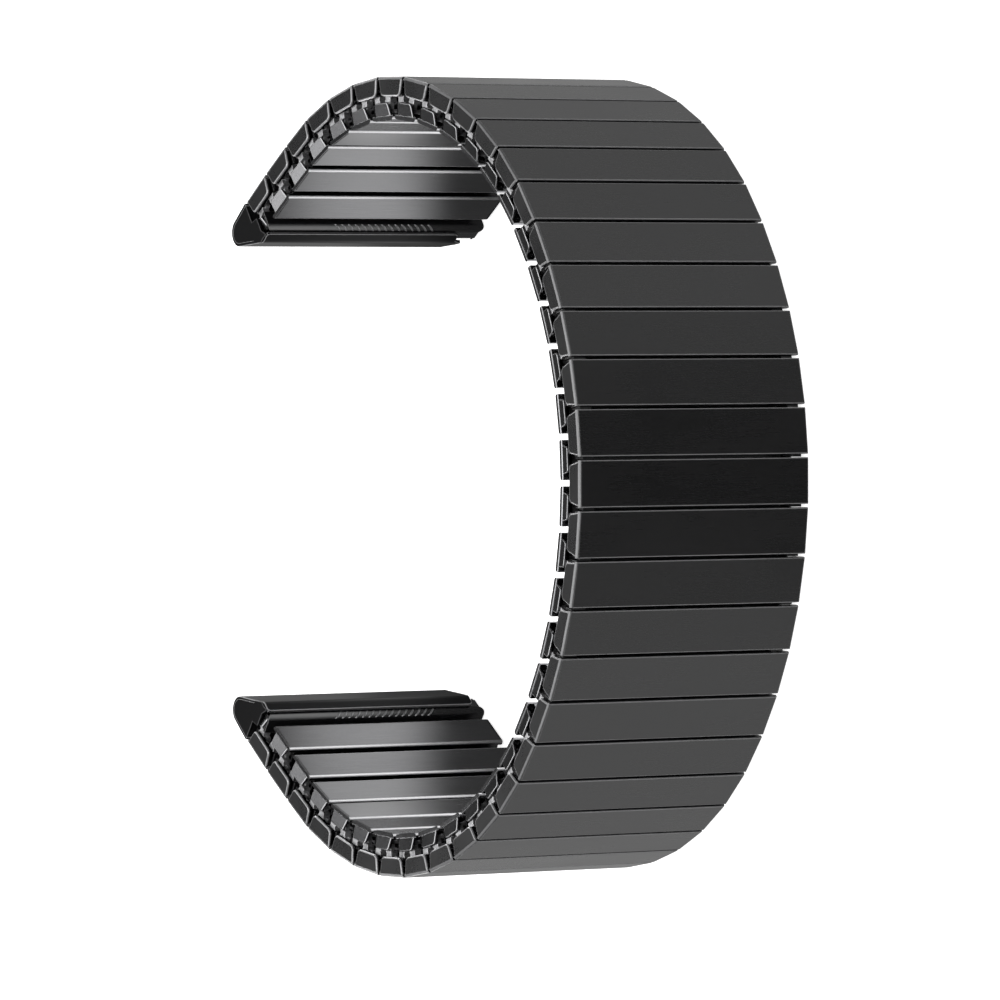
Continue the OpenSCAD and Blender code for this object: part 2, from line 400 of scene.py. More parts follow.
def joined(parts):
    out = bmesh.new()
    out.faces.layers.float.new("wear")
    for part in parts:
        spare = bpy.data.meshes.new("spare")
        part.to_mesh(spare)
        part.free()
        out.from_mesh(spare)
        bpy.data.meshes.remove(spare)
    return out


def turned_over(mesh, axis, about=0.0):
    """Mirrors a form, and turns its faces so that they point outwards again."""
    for v in mesh.verts:
        v.co[axis] = 2 * about - v.co[axis]
    bmesh.ops.reverse_faces(mesh, faces=mesh.faces)
    return mesh


def laid_over(mesh):
    """Swaps X and Z, so that what was drawn along the bars lies along the band, or the other way."""
    for v in mesh.verts:
        v.co = (v.co.z, v.co.y, v.co.x)
    bmesh.ops.recalc_face_normals(mesh, faces=mesh.faces)
    return mesh


def at_both_edges(make):
    """The same form at both side edges of the band."""
    return joined([make(), turned_over(make(), 2, BAND_W / 2)])


def creased(edge):
    """Sharp corners, and the borders between a flat face and the narrow faces of its rounding."""
    if len(edge.link_faces) != 2:
        return True
    angle = math.degrees(edge.calc_face_angle(0))
    areas = sorted(face.calc_area() for face in edge.link_faces)
    return angle > CREASE_ANGLE or (angle > FLAT_ANGLE and areas[1] > WIDER * areas[0])


def finished(mesh, name):
    """Turns a form in millimetres to a smooth-shaded mesh in metres."""
    for edge in mesh.edges:
        edge.smooth = not creased(edge)
    for face in mesh.faces:
        face.smooth = True
    bmesh.ops.scale(mesh, vec=(MM, MM, MM), verts=mesh.verts)
    data = bpy.data.meshes.new(name)
    mesh.to_mesh(data)
    mesh.free()
    print(f"{name}: {len(data.polygons)} faces")
    return data


print("creased above", CREASE_ANGLE, "degrees, and beside a wide flat face above", FLAT_ANGLE)

# %% [markdown]
# ### The covers
# A cover is the part the wearer sees: a strip of black sheet with its long sides turned down as
# walls, and an end flap with two round corners at each side edge of the band. Just above each flap
# the face slopes away in a narrow band that catches the light. The strip is a prism along X, so the
# slope can be drawn in its outline, and the flap is a prism along Z, so its corners can.

# %% Cover: outer face
SLOPE_DROP = 0.27
SLOPE_SET = 0.09
SLOPE_WEAR = 0.3
UPRIGHT, LEVEL = 0.1, 0.9
TOP_DEPTH = 0.42
TOP_BACK = 0.4
TOP_LEDGE = 0.02
LONG_ROUND = 0.1
LONG_WEAR = 0.12
RIM_ROUND = 0.04
RIM_WEAR = 0.5


def cover_top():
    """Outer face with a sloped band at each end, drawn in the plane of Z and Y."""
    ledge = -SLOPE_DROP - TOP_LEDGE
    points = [(0, ledge), (TOP_BACK, -TOP_DEPTH), (BAND_W - TOP_BACK, -TOP_DEPTH), (BAND_W, ledge),
              (BAND_W, -SLOPE_DROP), (BAND_W - SLOPE_SET, 0), (SLOPE_SET, 0), (0, -SLOPE_DROP)]
    mesh = laid_over(prism(points, -COVER_HALF, COVER_HALF))
    layer = mesh.faces.layers.float["wear"]
    for face in mesh.faces:
        if UPRIGHT < face.normal.y < LEVEL:
            face[layer] = SLOPE_WEAR

    def on_the_face(e):
        return sharp(e) and both_ends(e, lambda p: p.y > -NEAR)

    round_edges(mesh, on_the_face, LONG_ROUND, 3, LONG_WEAR)
    return round_edges(mesh, sharp, RIM_ROUND, 2, RIM_WEAR)


print(f"a cover's face is {2 * COVER_HALF:.2f} mm by {BAND_W:.1f} mm")

# %% [markdown]
# The walls under the face are seen only through the seams. They stop short of the flaps, and at each
# side edge a small ear reaches into the seam before the next cover. The ear narrows to its foot, which
# leaves room when the band bends inwards.

# %% Cover: walls and ears
WALL_BACK = 0.5
WALL_DRAFT = 0.15
WALL_LOW = -1.56
WALL_SET = 0.01
WALL_LAP = 0.12
WALL_ROUND = 0.05
EAR_REACH = 0.22
EAR_FOOT = 0.04
EAR_ROOT = 0.05
EAR_FOOT_UP = 0.15
EAR_HEAD_UP = 0.05
EAR_START = 0.55
EAR_END = 1.6


def cover_wall(side):
    """The turned-down long side at -X or +X."""
    high = side * (COVER_HALF - WALL_SET)
    low = side * (COVER_HALF - WALL_DRAFT)
    inner = side * SHEET
    top = -TOP_DEPTH + WALL_LAP
    points = [Vector((high, top)), Vector((low, WALL_LOW)), Vector((low - inner, WALL_LOW)),
              Vector((high - inner, top))]
    return round_edges(prism(points, WALL_BACK, BAND_W - WALL_BACK), sharp, WALL_ROUND, 2)


def cover_ear():
    foot, head = -COVER_H + EAR_FOOT_UP, -TOP_DEPTH + EAR_HEAD_UP
    root = COVER_HALF - EAR_ROOT
    outline = [Vector((root, foot)), Vector((COVER_HALF + EAR_FOOT, foot)),
               Vector((COVER_HALF + EAR_REACH, head)), Vector((root, head))]
    return prism(outline, EAR_START, EAR_END)


print(f"a wall is {-TOP_DEPTH + WALL_LAP - WALL_LOW:.2f} mm high, an ear reaches {EAR_REACH} mm out")

# %% [markdown]
# The flap closes the cover at the side edge of the band. Its foot and sides are rounded and rubbed
# bright, the sides a little less, but its head stays sharp, because it runs on into the face.

# %% Cover: end flap
FLAP_TOP_HALF = 1.8
FLAP_LOW_HALF = 1.6
FLAP_CORNER = 0.52
FLAP_ROUND = 0.13
FLAP_WEAR = 0.75
FLAP_SIDE_SHARE = 0.6


def cover_flap():
    w = FLAP_LOW_HALF
    c = FLAP_CORNER
    low = -COVER_H
    points = [Vector((-FLAP_TOP_HALF, -SLOPE_DROP)), *arc(Vector((c - w, low + c)), c, 180, 270),
              *arc(Vector((w - c, low + c)), c, 270, 360), Vector((FLAP_TOP_HALF, -SLOPE_DROP))]
    mesh = prism(points, 0, SHEET)

    def outline(e):
        below = min(v.co.y for v in e.verts) < -SLOPE_DROP - NEAR
        return below and sharp(e) and both_ends(e, lambda p: abs(p.z) < NEAR)

    round_edges(mesh, outline, FLAP_ROUND, 4, FLAP_WEAR)
    layer = mesh.faces.layers.float["wear"]
    for face in mesh.faces:
        if abs(face.normal.x) > abs(face.normal.y):
            face[layer] *= FLAP_SIDE_SHARE
    return mesh


COVER = finished(joined([cover_top(), cover_wall(-1), cover_wall(1), at_both_edges(cover_ear),
                         at_both_edges(cover_flap)]), "cover_form")

# %% [markdown]
# ### The sleeves
# The inner row is made of sleeves that lie under the seams. The face against the wrist has two long
# rounded edges, worn bright, and at each side edge of the band a tab is turned up. The tab leans
# back a few degrees, which is why it catches the light where a cover's flap stays dark. Its foot
# widens in two small hollows, so its outline is drawn point by point and gets its rim by hand.

# %% Sleeve: end tab
TAB_OUT = 0.22
TAB_LEAN = 12
TAB_T = 0.2
TAB_GAP = 0.02
TAB_TOP_HALF = 1.06
TAB_LOW_HALF = 1.18
TAB_FOOT_HALF = 1.5
TAB_CORNER = 0.3
TAB_HOLLOW = 0.36
HOLLOW_START = 255
TAB_RIM = 0.09
TAB_WEAR = 0.5
FOOT_DROP = 0.1


def leaned(height):
    """How much farther in the tab lies than its head, this far below it."""
    return height * math.tan(math.radians(TAB_LEAN))


def tab(from_x=-TAB_FOOT_HALF):
    """Turned-up tab with two hollows at its foot; from_x cuts its left side straight."""
    top = SLEEVE_TOP - TAB_GAP
    low = SLEEVE_LOW - FOOT_DROP
    c, h = TAB_CORNER, TAB_HOLLOW
    right = [*arc(Vector((TAB_LOW_HALF + h, low + h)), h, HOLLOW_START, 180, 5),
             *arc(Vector((TAB_TOP_HALF - c, top - c)), c, 0, 90, 5)]
    left = [Vector((-p.x, p.y)) for p in right[::-1]]
    if from_x > -TAB_LOW_HALF:
        left = [Vector((from_x, top)), Vector((from_x, low))]
    mesh = rimmed_plate(right + left, TAB_OUT, TAB_OUT + TAB_T, TAB_RIM, TAB_WEAR)
    for v in mesh.verts:
        v.co.z += leaned(top - v.co.y)
    return mesh


print(f"a tab's foot lies {leaned(SLEEVE_H):.2f} mm farther in than its head")

# %% [markdown]
# The rest of a sleeve is a flat box of thin sheet. Its wrist face is the piece that shows, so only
# that one is rounded, along its worn long edges and more finely at its ends. The walls and the lid
# are set in from it, so that the rounded edges stand free.

# %% Sleeve: folded box
FACE_T = 0.28
FACE_SET = 0.02
FACE_ROUND = 0.2
FACE_WEAR = 0.75
FOOT_OUT = 0.1
FOOT_CLEAR = 0.005
FOOT_ROUND = 0.09
FOOT_WEAR = 0.3
SLOT_DEPTH = 0.95
BOX_WALL = 0.1
BOX_SET = 0.03
BOX_UP = 0.15
LID_T = 0.2
LID_SET = 0.05
LID_BACK = 0.4
FACE_LOW = SLEEVE_LOW - FOOT_DROP + FOOT_CLEAR


def wrist_face(from_x, to_x):
    """The face against the wrist, from the foot of one tab to the foot of the other."""
    start = TAB_OUT + leaned(SLEEVE_H) - FOOT_OUT
    top = FACE_LOW + FACE_T + FOOT_DROP
    face = prism(rectangle(from_x, to_x, FACE_LOW, top), start, BAND_W - start)

    def long_edge(e):
        return e.calc_length() > BAND_W / 2 and both_ends(e, lambda p: p.y < FACE_LOW + NEAR)

    round_edges(face, long_edge, FACE_ROUND, 4, FACE_WEAR)
    for end in (start, BAND_W - start):
        def at_end(p):
            return abs(p.z - end) < NEAR

        def upper_edge(e):
            return both_ends(e, lambda p: at_end(p) and p.y > top - NEAR)

        round_edges(face, upper_edge, FOOT_ROUND, 3, FOOT_WEAR)
        round_edges(face, lambda e: sharp(e) and both_ends(e, at_end), FOOT_ROUND, 2)
    return face


def box_sides(from_x, to_x):
    """The two side walls and the lid."""
    walls = [prism(rectangle(x, x + BOX_WALL, FACE_LOW + BOX_UP, SLEEVE_TOP), SLOT_DEPTH, BAND_W - SLOT_DEPTH)
             for x in (from_x + BOX_SET, to_x - BOX_SET - BOX_WALL)]
    lid = prism(rectangle(from_x + LID_SET, to_x - LID_SET, SLEEVE_TOP - LID_T, SLEEVE_TOP),
                SLOT_DEPTH + LID_BACK, BAND_W - SLOT_DEPTH - LID_BACK)
    return [*walls, lid]


def sleeve_form(from_x=-SLEEVE_HALF, to_x=SLEEVE_HALF):
    left, right = from_x + FACE_SET, to_x - FACE_SET
    return joined([wrist_face(left, right), *box_sides(left, right),
                   at_both_edges(lambda: tab(max(from_x, -TAB_FOOT_HALF)))])


SLEEVE = finished(sleeve_form(), "sleeve_form")

# %% [markdown]
# ### Bows and leaf springs
# Between the rows sit small steel bows. Each has a flat post at the side edge of the band, a leg up
# into a cover and a leg down into the next sleeve. The post is waisted, as stamped ones are, so its
# outline is drawn point by point. The legs are hidden but for their roots, and stay plain strips.

# %% Bow
POST_HALF = 0.47
POST_WAIST = 0.36
POST_FACE = 0.44
POST_BACK = 1.1
POST_LAP = 0.05
POST_GAP = 0.06
POST_SHOULDER = 0.1
POST_LIP = 0.14
POST_ROUND = 0.04
LEG_HALF = 0.2
LEG_OUT = 0.5
LEG_IN = PITCH / 2 - 0.8
LEG_START = POST_FACE + 0.3
STEM = POST_BACK - 0.05
UPPER_STEM = (-COVER_H + POST_LAP - 0.1, -COVER_H + 0.3)
LOWER_STEM = (SLEEVE_TOP - 0.6, SLEEVE_TOP + POST_GAP + 0.12)
ROD = (SLEEVE_TOP - 0.78, SLEEVE_TOP - 0.5)
ROD_END = 6.5


def leg(x, heights, end):
    low, high = heights
    return prism(rectangle(x - LEG_HALF, x + LEG_HALF, low, high), LEG_START, end)


def bow_edge():
    """One bow at the lower side edge, drawn for the cover's +X half."""
    x = PITCH / 4
    top = -COVER_H + POST_LAP
    low = SLEEVE_TOP + POST_GAP
    middle = (top + low) / 2
    outline = [Vector((x - POST_HALF, top)), Vector((x - POST_WAIST, middle + POST_SHOULDER)),
               Vector((x - POST_WAIST, low)), Vector((x + POST_HALF, low)),
               Vector((x + POST_HALF, low + POST_LIP)), Vector((x + POST_WAIST, middle)),
               Vector((x + POST_HALF, top))]
    plate = round_edges(prism(outline, POST_FACE, POST_BACK), sharp, POST_ROUND, 2)
    return joined([plate, leg(LEG_OUT, UPPER_STEM, STEM), leg(LEG_IN, LOWER_STEM, STEM),
                   leg(LEG_IN, ROD, ROD_END)])


BOW_FRONT = finished(at_both_edges(bow_edge), "bow_front_form")
BOW_BACK = finished(turned_over(at_both_edges(bow_edge), 0), "bow_back_form")

# %% [markdown]
# Springs and end pieces are thin sheet bent along a line. A Solidify modifier could give a strip its
# thickness. Here the sheet is built by walking along its line instead: at every point it gets a section
# of four corners with ends of its own, so that it can be cut aslant, and these are closed to a solid.

# %% Sheet that follows a line
def left_of(way):
    return Vector((-way.y, way.x))


def skinned(mesh, rows, wear=0.0):
    """Closes a row of four-cornered sections to a solid."""
    layer = mesh.faces.layers.float["wear"]
    for a, b in zip(rows, rows[1:]):
        for i in range(4):
            n = (i + 1) % 4
            mesh.faces.new((a[i], a[n], b[n], b[i]))[layer] = wear
    mesh.faces.new(rows[0][::-1])
    mesh.faces.new(rows[-1])
    bmesh.ops.recalc_face_normals(mesh, faces=mesh.faces)
    return mesh


def bent_sheet(line, thickness, ends):
    """Sheet with its thickness on the left of a line; ends(i) gives its lowest and highest z there."""
    mesh = bmesh.new()
    mesh.faces.layers.float.new("wear")
    rows = []
    for i, p in enumerate(line):
        into = (p - line[i - 1]).normalized() if i else (line[1] - p).normalized()
        out = (line[i + 1] - p).normalized() if i < len(line) - 1 else into
        way = (into + out).normalized()
        back = p + left_of(way) * thickness / way.dot(out)
        low, high = ends(i)
        corners = ((p, low), (p, high), (back, high), (back, low))
        rows.append([mesh.verts.new((q.x, q.y, z)) for q, z in corners])
    return skinned(mesh, rows)


trial = bent_sheet(arc(Vector((0, 0)), 1.0, 0, 90), 0.1, lambda i: (0, 2))
print("a trial sheet, bent by a right angle:", len(trial.faces), "faces")
trial.free()

# %% [markdown]
# A thin leaf spring in every cover and every sleeve presses on the bows' legs, and that is what pulls
# the band back together. Its middle touches one wall, and its ends reach back to the legs.

# %% Leaf springs
LEAF_HALF = 0.95
LEAF_T = 0.1
LEAF_START = 1.2
LEAF_SLOPE = 4.0
LEAF_STEPS = 8


def leaf(middle, tips):
    line = []
    for i in range(LEAF_STEPS + 1):
        rise = (middle - tips) * math.sin(math.pi / 2 * i / LEAF_STEPS)
        line.append(Vector((LEAF_START + LEAF_SLOPE * i / LEAF_STEPS, tips + rise)))
    line += [Vector((BAND_W - p.x, p.y)) for p in line[::-1]]
    return laid_over(bent_sheet(line, LEAF_T, lambda i: (-LEAF_HALF, LEAF_HALF)))


COVER_LEAF = finished(leaf(middle=-0.55, tips=-0.95), "cover_leaf_form")
SLEEVE_LEAF = finished(leaf(middle=SLEEVE_LOW + 0.32, tips=SLEEVE_LOW + 0.45), "sleeve_leaf_form")
print(f"leaf spring {BAND_W - 2 * LEAF_START:.1f} mm long")

# %% [markdown]
# ## Placing the links
# One Geometry Nodes tree seats any form on the band: it turns the form by its heading, moves it to
# its seat, realizes the instance and sets its finish. Its sizes are named inputs, and each is set
# by its socket's identifier before the object is first evaluated. The result becomes a plain mesh,
# one for each moving body, because links that slide apart can't share a mesh.

# %% The seating tree
def new_tree(name, sockets):
    group = bpy.data.node_groups.new(name, "GeometryNodeTree")
    group.interface.new_socket("Geometry", in_out="INPUT", socket_type="NodeSocketGeometry")
    for label, kind in sockets:
        group.interface.new_socket(label, in_out="INPUT", socket_type=kind)
    group.interface.new_socket("Geometry", in_out="OUTPUT", socket_type="NodeSocketGeometry")
    t = Tree(group)
    start = group.nodes.new("NodeGroupInput")
    inputs = {socket.name: Sock(t, socket) for socket in start.outputs if socket.name}
    end = group.nodes.new("NodeGroupOutput")
    return group, t, inputs, end.inputs[0]


def seating_tree():
    sockets = (("Seat", "NodeSocketVector"), ("Heading", "NodeSocketFloat"), ("Finish", "NodeSocketMaterial"))
    group, t, given, end = new_tree("seat_on_band", sockets)
    turn = t.node("ShaderNodeCombineXYZ", None, {"Z": given["Heading"]})
    one = t.node("GeometryNodeGeometryToInstance", None, {0: given["Geometry"]})
    moved = t.node("GeometryNodeTransform", None,
                   {"Geometry": one, "Translation": given["Seat"], "Rotation": turn})
    real = t.node("GeometryNodeRealizeInstances", None, {"Geometry": moved})
    t.put(end, t.node("GeometryNodeSetMaterial", None, {"Geometry": real, "Material": given["Finish"]}))
    return group


def through(group, form, values):
    """The plain mesh that a tree makes of a form, with these values on its named inputs."""
    source = bpy.data.objects.new("source", form)
    bpy.context.scene.collection.objects.link(source)
    modifier = source.modifiers.new("tree", "NODES")
    modifier.node_group = group
    for socket in group.interface.items_tree:
        if socket.in_out == "INPUT" and socket.name in values:
            modifier[socket.identifier] = values[socket.name]
    data = bpy.data.meshes.new_from_object(source.evaluated_get(bpy.context.evaluated_depsgraph_get()))
    bpy.data.objects.remove(source)
    return data


SEATING = seating_tree()
print("seating tree:", len(SEATING.nodes), "nodes")

# %% [markdown]
# A piece is one mesh or several seated meshes of one finish. It is told which body it rides on and
# which CAD node it takes the place of. A cover sits in the middle between its two seams and has its
# link's heading. A sleeve lies in a seam and has the mean of two headings.

# %% Pieces from seated forms
def seated(form, seat, heading, finish):
    place = (seat[0] * MM, seat[1] * MM, 0.0)
    return through(SEATING, form, {"Seat": place, "Heading": math.radians(heading), "Finish": finish})


def piece(name, meshes, body, node):
    """Joins seated meshes of one finish to a piece that rides on a body and replaces a CAD node."""
    data = meshes[0]
    if len(meshes) > 1:
        whole = bmesh.new()
        whole.faces.layers.float.new("wear")
        for mesh in meshes:
            whole.from_mesh(mesh)
        whole.to_mesh(data)
        whole.free()
    made = bpy.data.objects.new(name, data)
    bpy.context.scene.collection.objects.link(made)
    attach(made, body)
    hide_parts(node)
    return made


def two_digits(name, number):
    return f"{name}_{number:02d}"


def cover_seat(k):
    return (SEAM[k - 1] + SEAM[k]) / 2


def seam_heading(j):
    return (HEADING[j] + HEADING[j + 1]) / 2


def has_own_bow(j):
    """At every second seam the second bow is a body of its own, which lets the band bend."""
    return 0 < j < LINKS and (j % 2 == 1 if j < MIDDLE else j % 2 == 0)


print("seams with a bow of their own:", [j for j in range(LINKS) if has_own_bow(j)])

# %% [markdown]
# Every link gets its cover, the sleeve in the seam after it, the springs in both, and the bows that
# join them. The bows' front half turns with the cover. Their back half lies in the next cover, and is
# a piece of its own wherever the band can bend.

# %% All links
for k in range(1, LINKS + 1):
    link = two_digits("link", k)
    seat, heading = cover_seat(k), HEADING[k]
    piece(two_digits("cover", k), [seated(COVER, seat, heading, COVER_COAT)], link, link)
    steel = [seated(COVER_LEAF, seat, heading, BOW_STEEL)]
    if k < LINKS:
        lean = seam_heading(k)
        sleeve = seated(SLEEVE, SEAM[k], lean, SLEEVE_COAT)
        piece(two_digits("sleeve", k), [sleeve], link, link)
        steel.append(seated(SLEEVE_LEAF, SEAM[k], lean, BOW_STEEL))
        steel.append(seated(BOW_FRONT, seat, heading, BOW_STEEL))
        back = seated(BOW_BACK, cover_seat(k + 1), HEADING[k + 1], BOW_STEEL)
        if has_own_bow(k):
            bow = two_digits("bow", k)
            piece(bow + "_back", [back], bow, bow)
        else:
            steel.append(back)
    piece(two_digits("springs", k), steel, link, link)
print("links placed:", LINKS, "bows of their own:", sum(has_own_bow(j) for j in range(LINKS)))

# %% [markdown]
# ## End pieces
# Each end of the band carries a folded piece of black sheet that takes the watch's spring bar: from
# the first cover it runs out, round the tip, back along an inner flange and up into a short front
# wall. One line describes that section, and bent_sheet follows it. At the lower side edge the real
# pieces are cut back, one more than the other, so the sheet's lower end is worked out point by point.

# %% The section of the fold
END_SHEET = SHEET + 0.05
TIP_REACH = 2.45
TIP_R = 0.9
TIP_OUTER = TIP_R + END_SHEET
TIP = Vector((-TIP_REACH, -(TIP_OUTER + 0.2)))
FRONT_WALL = 0.95
FRONT_LEAN = 43.0
FOLD_R = 0.75
FOLD_STEPS = 8
WALL_STEPS = 8
FLAT_STEPS = 5
TIP_STEPS = 24
OUTER_END = Vector((-COVER_GAP / 2, 0))
FLANGE_END = Vector((0.3, SLEEVE_LOW - 0.93))


def touch(p, side):
    """Angle at which a straight line from this point meets the tip."""
    d = p - TIP
    spread = math.degrees(math.acos(TIP_OUTER / d.length))
    return math.degrees(math.atan2(d.y, d.x)) + side * spread


OUT_ANGLE = touch(OUTER_END, 1)
IN_ANGLE = touch(FLANGE_END, -1) + 360
FLANGE_START = TIP + TIP_OUTER * along(IN_ANGLE)
FLANGE_WAY = (FLANGE_END - FLANGE_START).normalized()
WALL_WAY = Matrix.Rotation(math.radians(FRONT_LEAN), 2) @ FLANGE_WAY


def fold_line():
    """From the first cover round the tip to the front wall's free edge."""
    to_bend = FOLD_R * math.tan(math.radians(FRONT_LEAN) / 2)
    start = FLANGE_END - to_bend * FLANGE_WAY
    centre = start + FOLD_R * left_of(FLANGE_WAY)
    lead = math.degrees(math.atan2(FLANGE_WAY.y, FLANGE_WAY.x)) - 90
    flat = [FLANGE_START + i / (FLAT_STEPS + 1) * (start - FLANGE_START) for i in range(1, FLAT_STEPS + 1)]
    wall = [FLANGE_END + (to_bend + (FRONT_WALL - to_bend) * i / WALL_STEPS) * WALL_WAY
            for i in range(1, WALL_STEPS + 1)]
    return [OUTER_END, *arc(TIP, TIP_OUTER, OUT_ANGLE, IN_ANGLE, TIP_STEPS), *flat,
            *arc(centre, FOLD_R, lead, lead + FRONT_LEAN, FOLD_STEPS), *wall]


FOLD = fold_line()
print(f"the fold, laid flat: {sum((q - p).length for p, q in zip(FOLD, FOLD[1:])):.1f} mm")

# %% [markdown]
# The sheet starts and stops at another height at each point of the fold: the cut of its lower end runs
# from the tip to the front wall, and the wall's free corners are rounded. Its rims are rubbed bright,
# and its outer side is worn a little all over.

# %% Fold
FAR_CUT = {"a": (1.9, 2.9), "b": (1.4, 1.5)}
FIRST_SHARE = 0.5
WALL_CORNER = 0.3
WALL_BACK_NEAR = 0.12
FOLD_ROUND = 0.07
FOLD_WEAR = 0.45
OUTSIDE = 0.2
OUTSIDE_WEAR = 0.12


def rounding(distance, radius):
    """How far a rounded corner draws an edge in, at this distance from the free edge."""
    if distance >= radius:
        return 0.0
    return radius - math.sqrt(radius ** 2 - (radius - distance) ** 2)


def fold_ends(i, cut):
    p = FOLD[i]
    at_tip, at_wall = cut
    past_tip = min(max((i - TIP_STEPS - FLAT_STEPS) / FOLD_STEPS, 0), 1)
    low = at_tip * (1.0 if i else FIRST_SHARE) + (at_wall - at_tip) * past_tip
    draw = rounding((p - FOLD[-1]).length, WALL_CORNER) if i > len(FOLD) - WALL_STEPS else 0.0
    back = WALL_BACK_NEAR if i > TIP_STEPS + FLAT_STEPS else 0.0
    return low + draw, BAND_W - draw - back


def fold_form(cut):
    mesh = bent_sheet(FOLD, END_SHEET, lambda i: fold_ends(i, cut))
    round_edges(mesh, sharp, FOLD_ROUND, 3, FOLD_WEAR)
    layer = mesh.faces.layers.float["wear"]
    for face in mesh.faces:
        if face.normal.y > OUTSIDE:
            face[layer] = max(face[layer], OUTSIDE_WEAR)
    return mesh


print("cut off at the lower side edge, in mm at tip and wall:", FAR_CUT)

# %% [markdown]
# The upper side edge of the fold is closed by a flat black cap, and the lower one by a second cap
# just behind its cut. Both are plain sheet, so each is a prism of the fold's own section.

# %% Caps
CAP_REACH = 0.65
CAP_LEVEL = 0.01
CAP_INSET = 0.05
CAP_ROUND = 0.05
CAP_WEAR = 0.25
FAR_CAP_INSET = 0.08
FAR_CAP_BACK = 0.05
WALL_SHORT = 0.15
CAP_BEND = ((-0.25, 0.12), (0.2, 0.22))
CAP_WALL_BACK = Vector((-0.1, 0.3))
CAP_FOOT_UP = 0.05
CAP_HEAD_BACK, CAP_HEAD_UP = 0.05, 0.2


def cap_outline(inset):
    """The fold's section, this much smaller, closed along the last sleeve."""
    wall_end = FLANGE_END + (FRONT_WALL - WALL_SHORT) * WALL_WAY
    return [OUTER_END + Vector((-inset, -inset)),
            *arc(TIP, TIP_OUTER - inset, OUT_ANGLE, IN_ANGLE, TIP_STEPS),
            *(FLANGE_END + Vector((x, inset + y)) for x, y in CAP_BEND),
            wall_end + Vector((0, inset)), wall_end + CAP_WALL_BACK,
            Vector((CAP_REACH, SLEEVE_LOW + CAP_FOOT_UP)), Vector((CAP_REACH, SLEEVE_TOP)),
            Vector((OUTER_END.x - CAP_HEAD_BACK, SLEEVE_TOP + CAP_HEAD_UP))]


def near_cap():
    mesh = prism(cap_outline(CAP_INSET), BAND_W - SHEET, BAND_W - CAP_LEVEL)

    def outer_rim(e):
        return sharp(e) and both_ends(e, lambda p: p.z > BAND_W - 2 * CAP_LEVEL)

    return round_edges(mesh, outer_rim, CAP_ROUND, 2, CAP_WEAR)


def far_cap(cut):
    at_wall = cut[1] + FAR_CAP_BACK
    return prism(cap_outline(FAR_CAP_INSET), at_wall, at_wall + SHEET)


print("corners on a cap:", len(cap_outline(CAP_INSET)))

# %% [markdown]
# Below the last sleeve the end piece has a rolled wall with rounded corners. It is sheet again, bent
# along an arc, and its ends are drawn in towards its free edge, as those of the front wall are.

# %% Rolled wall
ROLL_R = 0.55
ROLL_TURN = 100
ROLL_STEPS = 16
ROLL_CENTRE = Vector((SLEEVE_HALF - ROLL_R, SLEEVE_LOW + 0.2))
ROLL_CORNER = 0.7
ROLL_INSET = 0.25
ROLL_ROUND = 0.06
ROLL_WEAR = 0.4


def roll_form():
    line = arc(ROLL_CENTRE, ROLL_R, -ROLL_TURN, 0, ROLL_STEPS) + [Vector((SLEEVE_HALF, SLEEVE_TOP))]
    step = ROLL_R * math.radians(ROLL_TURN) / ROLL_STEPS

    def ends(i):
        draw = ROLL_INSET + rounding(max(i - 1, 0) * step, ROLL_CORNER)
        return draw, BAND_W - draw

    return round_edges(bent_sheet(line, SHEET, ends), sharp, ROLL_ROUND, 3, ROLL_WEAR)


print(f"rolled wall: {ROLL_R} mm radius, turned by {ROLL_TURN} degrees")

# %% [markdown]
# A row of slanted grip ribs is raised on the rolled wall. One rib is bent to the same arc, and a
# second Geometry Nodes tree repeats it: count, pitch and start are its named inputs.

# %% Ribs
RIB_COUNT = 15
RIB_PITCH = 0.66
RIB_START = 5.6
RIB_LEAN = 0.5
RIB_H = 0.1
RIB_SINK = 0.04
RIB_FOOT = 0.15
RIB_TOP = 0.05
RIB_WEAR = 0.35
RIB_FROM = -80
RIB_TURN = 66
RIB_STEPS = 8


def rib_form():
    """One rib: a low bead that rises and falls along the roll, leaning as it goes."""
    mesh = bmesh.new()
    mesh.faces.layers.float.new("wear")
    rows = []
    for i in range(RIB_STEPS + 1):
        share = i / RIB_STEPS
        way = along(RIB_FROM + RIB_TURN * share)
        height = RIB_H * math.sin(math.pi * share) ** 0.5
        z = RIB_LEAN * (share - 0.5)
        base = ROLL_CENTRE + (ROLL_R - RIB_SINK) * way
        top = ROLL_CENTRE + (ROLL_R + height) * way
        section = ((base, -RIB_FOOT), (top, -RIB_TOP), (top, RIB_TOP), (base, RIB_FOOT))
        rows.append([mesh.verts.new((q.x, q.y, z + w)) for q, w in section])
    return skinned(mesh, rows, RIB_WEAR)


def rib_tree():
    sockets = (("Count", "NodeSocketInt"), ("Pitch", "NodeSocketFloat"), ("Start", "NodeSocketFloat"),
               ("Finish", "NodeSocketMaterial"))
    group, t, given, end = new_tree("rib_row", sockets)
    first = t.node("ShaderNodeCombineXYZ", None, {"Z": given["Start"]})
    step = t.node("ShaderNodeCombineXYZ", None, {"Z": given["Pitch"]})
    line = t.node("GeometryNodeMeshLine", {"mode": "OFFSET"},
                  {"Count": given["Count"], "Start Location": first, "Offset": step})
    row = t.node("GeometryNodeInstanceOnPoints", None, {"Points": line, "Instance": given["Geometry"]})
    real = t.node("GeometryNodeRealizeInstances", None, {"Geometry": row})
    t.put(end, t.node("GeometryNodeSetMaterial", None, {"Geometry": real, "Material": given["Finish"]}))
    return group


RIB_ROW = rib_tree()
print("rib tree:", len(RIB_ROW.nodes), "nodes,", RIB_COUNT, "ribs on each end piece")

# %% [markdown]
# A web inside each end piece holds the short sleeve, and a pair of bows joins the piece to the first
# cover. Both lie in shadow, so the web is a plain strip, and the bows are those of the band.

